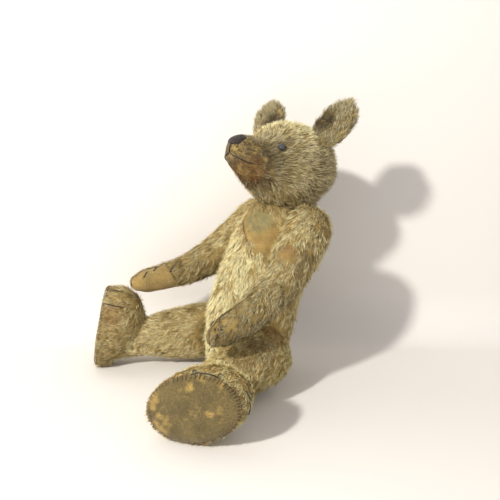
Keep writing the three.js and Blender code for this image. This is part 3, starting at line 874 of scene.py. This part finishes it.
torso_tree = skin_tree(torso_skin)
seam_line = laid(torso_tree, SEAM, 0.9)
seam_threads = [(seam_line, outward(torso_tree))]
for i in range(2, len(seam_line) - 2, 3):
    before, here, after = seam_line[i - 1:i + 2]
    ahead = (after - before).normalized()
    across = ahead.cross(torso_tree.find_nearest(here)[1]).normalized() * 1.8
    slanted = [here - across - ahead, here + (here - before) * 0.1, here + across + ahead]
    seam_threads.append((slanted, outward(torso_tree)))
sew("closing_seam", seam_threads, 0.38, "torso", linen, sink=0.8)

# ---- Ears: two cupped plush flaps ----
# Two layers of plush sewn round their edge, cupped forwards and oversewn to the corners of the
# head. The pile is long at the rim, with painted shade in the hollow.

for side, way in (("left", 1), ("right", -1)):
    tip = on_head(-4, way * 62, 82)
    hollow = on_head(7, way * 43, 53)
    rise = np.array((tip - on_head(4, way * 39, 28)).normalized())

    def ear_coat(points):
        edge = np.clip((points - np.array(hollow)) @ rise / 30, 0, 1)
        return np.ones(len(points)), 7.0 + 5.0 * edge, 28 + 10 * edge

    def ear_nap(points):
        return np.tile(rise, (len(points), 1)) - 0.35 * np.array(head_forward)

    def ear_tint(points, rng):
        # Painted shade in the hollow of the ear.
        deep = near(points, hollow, 9, 0.9)
        colour = lock_colours(points, rng, 0.10, 0.30 * deep, 71 + way)
        return blend_colours(colour, UMBER * 0.55, 0.9 * deep) * 0.47

    ear = stuffed_skin(f"{side}_ear_skin", nodes[f"{side}_ear"], voxel=1.9, smoothing=4, swell=0.2)
    dress(ear, even_cloth, ear_coat)
    ear_pile = grow_pile(f"{side}_ear_pile", ear, 5500, ear_nap, ear_coat, ear_tint, 103 + way,
                         per_lock=7, contrast=1.6)
    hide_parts(f"{side}_ear")
    plush_on("head", ear, ear_pile)

# ---- Arms ----
# Long arms of the same plush, bent at the elbow. The pile runs down to the hand. The bear's left
# arm is rubbed brown inside the elbow, and flecked with dark hairs.

ARM_WAYS = {"left": (0, -0.74, -0.67), "right": (0, -0.815, -0.58)}


def arm_way(side):
    """The way an arm runs, square to its shoulder's axis."""
    _, axis = shoulders[side]
    along = Vector(ARM_WAYS[side])
    return np.array((along - axis * along.dot(axis)).normalized())


for side in ("left", "right"):
    point, axis = shoulders[side]
    along = arm_way(side)
    left_side = 1.0 if side == "left" else 0.0

    def arm_at(points):
        """How far down the arm points lie from its shoulder, in mm."""
        return (points - np.array(point)) @ along

    def palm(points):
        """The part of the hand that the felt pad covers."""
        reach = arm_at(points)
        inner = (points - np.array(point)) @ np.array(axis)
        return np.clip((reach - 130) / 3, 0, 1) * np.clip((19.5 - inner) / 2, 0, 1)

    def arm_bare(points):
        return left_side * near(points, (82, 6, 164), 8, 0.7)

    def arm_coat(points):
        reach = arm_at(points)
        hand = np.clip((reach - 110) / 40, 0, 1)
        bare = arm_bare(points)
        under = rubbed(points, [shoulders[side]], 26)
        cover = (1 - 0.98 * palm(points)) * (1 - 0.6 * bare) * (1 - 0.9 * under)
        return cover, 10.0 - 4.0 * hand - 7.5 * bare, 21 - 5 * hand

    def arm_nap(points):
        return np.tile(along, (len(points), 1)) + np.array([0, 0, -0.35])

    def arm_tint(points, rng):
        reach = arm_at(points)
        flecks = left_side * (rng.random(len(points)) < 0.16) * 0.40
        # Painted shade: the bear's right arm, the far one, is darkened more than the left.
        shade = 0.18 if side == "right" else 0.06
        hand = np.clip((reach - 120) / 40, 0, 1)
        colour = lock_colours(points, rng, 0.08 * left_side, shade + flecks + 0.10 * hand, 81)
        blots = np.maximum(near(points, (95, 14, 148), 6, 0.9), near(points, (91, 30, 160), 7, 0.9))
        colour = blend_colours(colour, UMBER, 0.7 * left_side * blots + 0.35 * left_side * hand)
        forearm = np.clip((reach - 55) / 40, 0, 1)
        colour = colour * (0.92 - 0.30 * forearm)[:, None]
        return blend_colours(colour, (RUST + UMBER) * 0.36, 0.7 * arm_bare(points))

    def arm_cloth(points):
        brown = arm_bare(points) * (0.8 + 0.2 * patchy(points, 5, 6))
        return blend_colours(even_cloth(points), (RUST + UMBER) * 0.42, brown)

    arm = stuffed_skin(f"{side}_arm_skin", nodes[f"{side}_arm_cover"], [shoulders[side]], smoothing=7)
    dress(arm, arm_cloth, arm_coat)
    arm_pile = grow_pile(f"{side}_arm_pile", arm, 15500, arm_nap, arm_coat, arm_tint,
                         110 + int(left_side), contrast=1.3)
    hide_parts(f"{side}_arm_cover", f"{side}_arm_stuffing")
    plush_on(f"{side}_arm", arm, arm_pile)

# ---- Legs ----
# Full thighs, narrow ankles and long feet, cut in one with the leg. The pile runs down the leg
# and round the foot. The bear's left thigh is stained dark and rubbed orange on top.

# For each leg: the way it runs and its toes point, the way its sole faces, the middle of its
# thigh's top and that of its sole. A leg splays out, drops and is twisted by degrees.
leg_ways = {}
SOLE_TILT = math.radians(15)
for side, way, splay, drop, twist in (("left", 1, 25, 5, 72), ("right", -1, 24, 5, 4)):
    point, axis = hips[side]
    splay, drop, twist = math.radians(splay), math.radians(drop), math.radians(twist)
    along = Vector((way * math.sin(splay) * math.cos(drop), -math.cos(splay) * math.cos(drop),
                    -math.sin(drop)))
    sideways = Vector((way * math.cos(splay), math.sin(splay), 0))
    upright = sideways.cross(along) * -way
    toes = Matrix.Rotation(-way * twist, 3, along) @ upright
    facing = Matrix.Rotation(-SOLE_TILT, 3, toes.cross(along)) @ along
    hip = point + axis * 18.5 + Vector((0, -6, 0))
    middle = hip + along * 142 + toes * 21
    leg_ways[side] = (along, toes, facing, hip, middle)

# Stains on the left thigh: middle, radius and strength.
THIGH_STAINS = [((92, -33, 62), 12, 0.5), ((84, -16, 66), 8, 0.35), ((100, -58, 57), 8, 0.4)]

for side in ("left", "right"):
    along, toes, facing, hip, middle = leg_ways[side]
    left_side = 1.0 if side == "left" else 0.0

    def leg_at(points):
        """How far down the leg points lie from its hip, in mm."""
        return (points - np.array(hip)) @ np.array(along)

    def sole_gap(points):
        """How far a point lies behind the plane of the sole, in mm."""
        return (np.array(middle) - points) @ np.array(facing)

    def leg_coat(points):
        gap = sole_gap(points)
        rim = np.clip(gap / 5, 0, 1)
        cover = np.where(gap < 2.2, 0.0, 1.0)
        under = np.clip(points[:, 2] / 4, 0.25, 1) * (1 - 0.85 * rubbed(points, [hips[side]], 36))
        foot = np.clip((leg_at(points) - 100) / 20, 0, 1)
        worn = left_side * 0.7 * near(points, (74, -9, 71), 9, 0.8)
        length = 5.5 + 3.5 * rim - 2.0 * foot * left_side - 4 * worn
        return cover * under, length, 21 - 6 * left_side * foot

    def leg_nap(points):
        foot = np.clip((leg_at(points) - 95) / 25, 0, 1)[:, None]
        return np.array(along)[None, :] + np.array([0, 0, -0.35]) * (1 - foot) + np.array(toes) * 0.2 * foot

    def leg_tint(points, rng):
        reach = leg_at(points)
        colour = lock_colours(points, rng, -0.02, 0.08 + 0.06 * left_side, 91)
        for centre, radius, strength in THIGH_STAINS:
            colour = blend_colours(colour, UMBER, left_side * strength * near(points, centre, radius, 0.8))
        colour = blend_colours(colour, RUST * 1.15, left_side * 0.55 * near(points, (72, -6, 71), 9, 0.8))
        ankle = near(points, (-84, -139, 72), 9, 0.8) * (1 - left_side)
        colour = blend_colours(colour, RUST, 0.55 * ankle)
        light = np.clip((reach - 125) / 15, 0, 1) * (1 - left_side)
        colour = blend_colours(colour, STRAW * 0.8, 0.2 * light)
        # Painted light and shade: the bear's left leg is made lighter, its right leg darker.
        return colour * (0.82 + 0.36 * left_side - 0.20 * light)[:, None]

    leg = stuffed_skin(f"{side}_leg_skin", nodes[f"{side}_leg_cover"], [hips[side]], smoothing=5)
    dress(leg, even_cloth, leg_coat)
    leg_pile = grow_pile(f"{side}_leg_pile", leg, 24500, leg_nap, leg_coat, leg_tint,
                         120 + int(left_side))
    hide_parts(f"{side}_leg_cover", f"{side}_leg_stuffing")
    plush_on(f"{side}_leg", leg, leg_pile)

# ---- Paw pads ----
# Felt, cut to the palm and sewn over the inner side and the end of each hand, tight on its
# stuffing.

# Wool felt: pressed fibres with no weave, here soiled to the colour of the pile and rubbed thin.
# Its matted nap shows as tufts of 1.6 mm and its grime as clouds of 14 mm. It has no shine.
felt, felt_shader = new_finish("soiled_wool_felt", 0.93, {"Sheen Weight": 0.25, "Specular IOR Level": 0.15})
felt_place = add_node(felt, "ShaderNodeTexCoord")
nap_noise = add_node(felt, "ShaderNodeTexNoise", {"Scale": spots(1.61), "Detail": 6.0, "Roughness": 0.7},
                     {"Vector": felt_place.outputs["Object"]})
grime = add_node(felt, "ShaderNodeTexNoise", {"Scale": spots(14.3), "Detail": 4.0, "Roughness": 0.6},
                 {"Vector": felt_place.outputs["Object"]})
soil(felt, felt_shader, "ground", (grime, 0.34, 0.66, 0.78, 1.12), (nap_noise, 0.32, 0.68, 0.62, 1.30))
scuff(felt, felt_shader, grime, 0.3, 0.7, 0.86, 0.99)
felt_bump = add_node(felt, "ShaderNodeBump", {"Strength": 0.55, "Distance": 0.0005},
                     {"Height": nap_noise.outputs["Fac"]})
felt.node_tree.links.new(felt_bump.outputs[0], felt_shader.inputs["Normal"])

FELT_TAN = np.array(linear("#A1884F")[:3])
FELT_OLIVE = np.array(linear("#685B3A")[:3])


def thicken(piece, thickness):
    """Gives a sheet of felt its thickness in mm, outwards, and adds it to the scene."""
    solid = piece.modifiers.new("thickness", "SOLIDIFY")
    solid.thickness = thickness * MM
    solid.offset = 1.0
    bpy.context.collection.objects.link(piece)


# The pads in mm: where they start down the arm, how far they reach outwards over the hand from
# the shoulder joint's plane, how proud they lie and how thick they are.
PAD_START = 128.0
PAD_INNER = 20.0
PAD_PROUD = 0.5
PAD_THICK = 1.1

for side in ("left", "right"):
    point, axis = shoulders[side]
    arm = bpy.data.objects[f"{side}_arm_skin"]
    points, _, _ = arrays(arm.data)
    reach = (points - np.array(point)) @ arm_way(side)
    inner = (points - np.array(point)) @ np.array(axis)
    on_pad = (reach > PAD_START + 1.2 * patchy(points, 9, 7)) & (inner < PAD_INNER)
    pad = bmesh.new()
    pad.from_mesh(arm.data)
    pad.verts.ensure_lookup_table()
    bmesh.ops.delete(pad, geom=[v for i, v in enumerate(pad.verts) if not on_pad[i]], context="VERTS")
    for vert in pad.verts:
        vert.co += vert.normal * PAD_PROUD * MM
    mesh = bpy.data.meshes.new(f"{side}_paw_felt")
    pad.to_mesh(mesh)
    area = sum(f.calc_area() for f in pad.faces)
    pad.free()
    mesh.polygons.foreach_set("use_smooth", [True] * len(mesh.polygons))
    points, _, _ = arrays(mesh)
    greasy = 0.40 + 0.35 * patchy(points, 9, 9) + 0.25 * patchy(points, 4, 10)
    paint(mesh, "ground", blend_colours(np.tile(FELT_TAN * 0.48, (len(points), 1)), FELT_OLIVE * 0.62,
                                        greasy))
    mesh.materials.append(felt)
    paw = bpy.data.objects.new(mesh.name, mesh)
    thicken(paw, PAD_THICK)
    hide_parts(f"{side}_paw_pad")
    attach(paw, f"{side}_arm")

# ---- Soles ----
# An oval of thick felt let into the end of each foot. The bear's left sole has lost its nap at
# the edge and in spots, down to a tan base.


# The sole in mm: half its width and length, its thickness, and how far it is puffed out.
SOLE_WIDE, SOLE_LONG = 32.0, 49.0
SOLE_THICK = 1.6
PUFF = 2.6
RINGS, SPOKES = 26, 84
# Spots of the left sole that are rubbed down to the base: middle and radius.
SOLE_SPOTS = [((136, -136, 59), 3), ((160, -116, 66), 3), ((151, -123, 37), 3), ((159, -117, 42), 3),
              ((106, -160, 45), 5), ((103, -163, 36), 5), ((113, -155, 17), 8), ((144, -129, 69), 3)]


def sole_frame(side):
    """The middle of a sole, the way to its toes, the way across it and the way it faces."""
    _, toes, facing, _, middle = leg_ways[side]
    lengthways = (toes - facing * toes.dot(facing)).normalized()
    return middle, lengthways, lengthways.cross(facing), facing


def sole_point(side, angle, share, lift):
    """A point at an angle round the sole, at a share of its radius, `lift` mm off its plane."""
    middle, lengthways, across, facing = sole_frame(side)
    return (middle + across * (math.cos(angle) * SOLE_WIDE * share)
            + lengthways * (math.sin(angle) * SOLE_LONG * share) + facing * lift)


for side in ("left", "right"):
    mesh = bpy.data.meshes.new(f"{side}_sole_felt")
    middle, _, _, facing = sole_frame(side)
    points = [middle + facing * PUFF]
    for ring in range(1, RINGS + 1):
        share = ring / RINGS
        puff = PUFF * (1 - share ** 6) - 0.8 * share ** 12
        points += [sole_point(side, 2 * math.pi * k / SPOKES, share, puff) for k in range(SPOKES)]
    faces = [(0, 1 + k, 1 + (k + 1) % SPOKES) for k in range(SPOKES)]
    for ring in range(RINGS - 1):
        low, high = 1 + ring * SPOKES, 1 + (ring + 1) * SPOKES
        for k in range(SPOKES):
            after = (k + 1) % SPOKES
            faces.append((low + k, high + k, high + after, low + after))
    points = np.array([tuple(p) for p in points])
    points += np.array(facing) * (0.45 * patchy(points, 24, 13) + 0.15 * patchy(points, 6, 14))[:, None]
    points[:, 2] = np.maximum(points[:, 2], 0.4)
    mesh.from_pydata([tuple(p * MM) for p in points], [], faces)
    mesh.polygons.foreach_set("use_smooth", [True] * len(mesh.polygons))
    worn = 0.30 * patchy(points, 8, 17) + 0.34 * patchy(points, 3.5, 18) - 0.34
    if side == "left":
        for centre, radius in SOLE_SPOTS:
            worn += 0.85 * near(points, centre, radius, 0.9)
    else:
        worn += 0.4
    paint(mesh, "ground", blend_colours(np.tile(FELT_OLIVE, (len(points), 1)), FELT_TAN, worn * 1.4))
    mesh.materials.append(felt)
    sole = bpy.data.objects.new(mesh.name, mesh)
    thicken(sole, SOLE_THICK)
    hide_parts(f"{side}_foot_pad")
    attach(sole, f"{side}_leg")

# ---- Sole stitching and claws ----
# The felt is oversewn to the plush with short brown stitches. The claws are long black ones over
# the front of the foot; on the left foot two of them are joined by a thread along the edge.
SOLE_STITCHES = 64
SOLE_SEEDS = {"left": 31, "right": 32}

for side in ("left", "right"):
    _, _, _, facing = sole_frame(side)
    rng = np.random.default_rng(SOLE_SEEDS[side])
    stitches = []
    for k in range(SOLE_STITCHES):
        angle = 2 * math.pi * (k + rng.uniform(-0.2, 0.2)) / SOLE_STITCHES
        path = [sole_point(side, angle, share, lift) for share, lift in (
            (0.93, 3.4), (0.985, 3.1), (1.035, 1.2), (1.05, -1.8 - rng.uniform(0, 1.2)))]
        if min(p.z for p in path) > 1.0:
            stitches.append((path, lambda point: facing))
    sew(f"{side}_sole_stitches", stitches, 0.42, f"{side}_leg", linen, sink=0.3)

left_tree = skin_tree(bpy.data.objects["left_leg_skin"])
right_tree = skin_tree(bpy.data.objects["right_leg_skin"])


def rim_angle(side, point):
    """Where round the sole's edge a point lies."""
    middle, lengthways, across, _ = sole_frame(side)
    away = Vector(point) - middle
    return math.atan2(away.dot(lengthways) / SOLE_LONG, away.dot(across) / SOLE_WIDE)


first, last = rim_angle("left", (130, -127, 70)), rim_angle("left", (144, -107, 70))
edge_angles = [first + (last - first) * i / 6 for i in range(7)]
left_claws = [[sole_point("left", angle, 1.11, lift) for lift in (1.2, -2.0, -5.2, -8.4)]
              for angle in (first, last)]
left_claws.append([sole_point("left", angle, 1.09, 0.8) for angle in edge_angles])
left_claws += [laid(left_tree, path, 1.8) for path in (
    [(150, -88, 43), (149, -82, 54), (154, -89, 44)], [(163, -96, 57), (162, -94, 45), (160, -92, 33)])]
right_claws = [laid(right_tree, path, 3.0) for path in (
    [(-104, -137, 97), (-99, -130, 97), (-95, -123, 95)],
    [(-95, -148, 85), (-89, -138, 82), (-83, -127, 79)])]
for name, tree, paths, body in (("left_claws", left_tree, left_claws, "left_leg"),
                                ("right_claws", right_tree, right_claws, "right_leg")):
    sew(name, [(path, outward(tree)) for path in paths], 0.62, body, cotton, sink=2.4)

right_hand = [[(-77, -56, 129), (-78, -62, 124), (-76, -68, 118)],
              [(-88, -78, 124), (-85, -86, 119)], [(-90, -90, 117), (-87, -98, 112)],
              [(-96, -108, 107), (-92, -113, 102)]]
left_hand = [[(93, -78, 108), (97, -86, 105)], [(105, -92, 94), (110, -97, 87)],
             [(86, -88, 104), (89, -95, 98)]]
for side, paths in (("left", left_hand), ("right", right_hand)):
    tree = skin_tree(bpy.data.objects[f"{side}_arm_skin"])
    sew(f"{side}_hand_claws", [(laid(tree, path, 2.2), outward(tree)) for path in paths], 0.62,
        f"{side}_arm", cotton, sink=2.0)

# ---- Joints: hardboard discs, steel washers and cotter pins ----
# Each joint is two discs drawn together through the plush by a pin, whose ends are curled over
# washers.

# Hardboard: pressed brown fibre, dry and matt, flecked with darker fibres about 2 mm long.
board, board_shader = new_finish("pressed_fibreboard", 0.85)
mottle(board, board_shader, 2.08, 5.0, "#4E3A24", "#876A45")

# Steel, dulled by age, with brown specks of rust about 3 mm across, rougher than the metal.
steel, steel_shader = new_finish("dulled_steel", 0.45, {"Metallic": 1.0})
rust = mottle(steel, steel_shader, 3.03, 5.0, "#7B7A76", "#5D4231")
scuff(steel, steel_shader, rust, 0.35, 0.65, 0.38, 0.75)

for joint in ("neck", "left_shoulder", "right_shoulder", "left_hip", "right_hip"):
    for place_in in ("inner", "outer"):
        refinish(f"{joint}_{place_in}_disc", board)
        refinish(f"{joint}_{place_in}_washer", steel)
    refinish(f"{joint}_pin", steel)
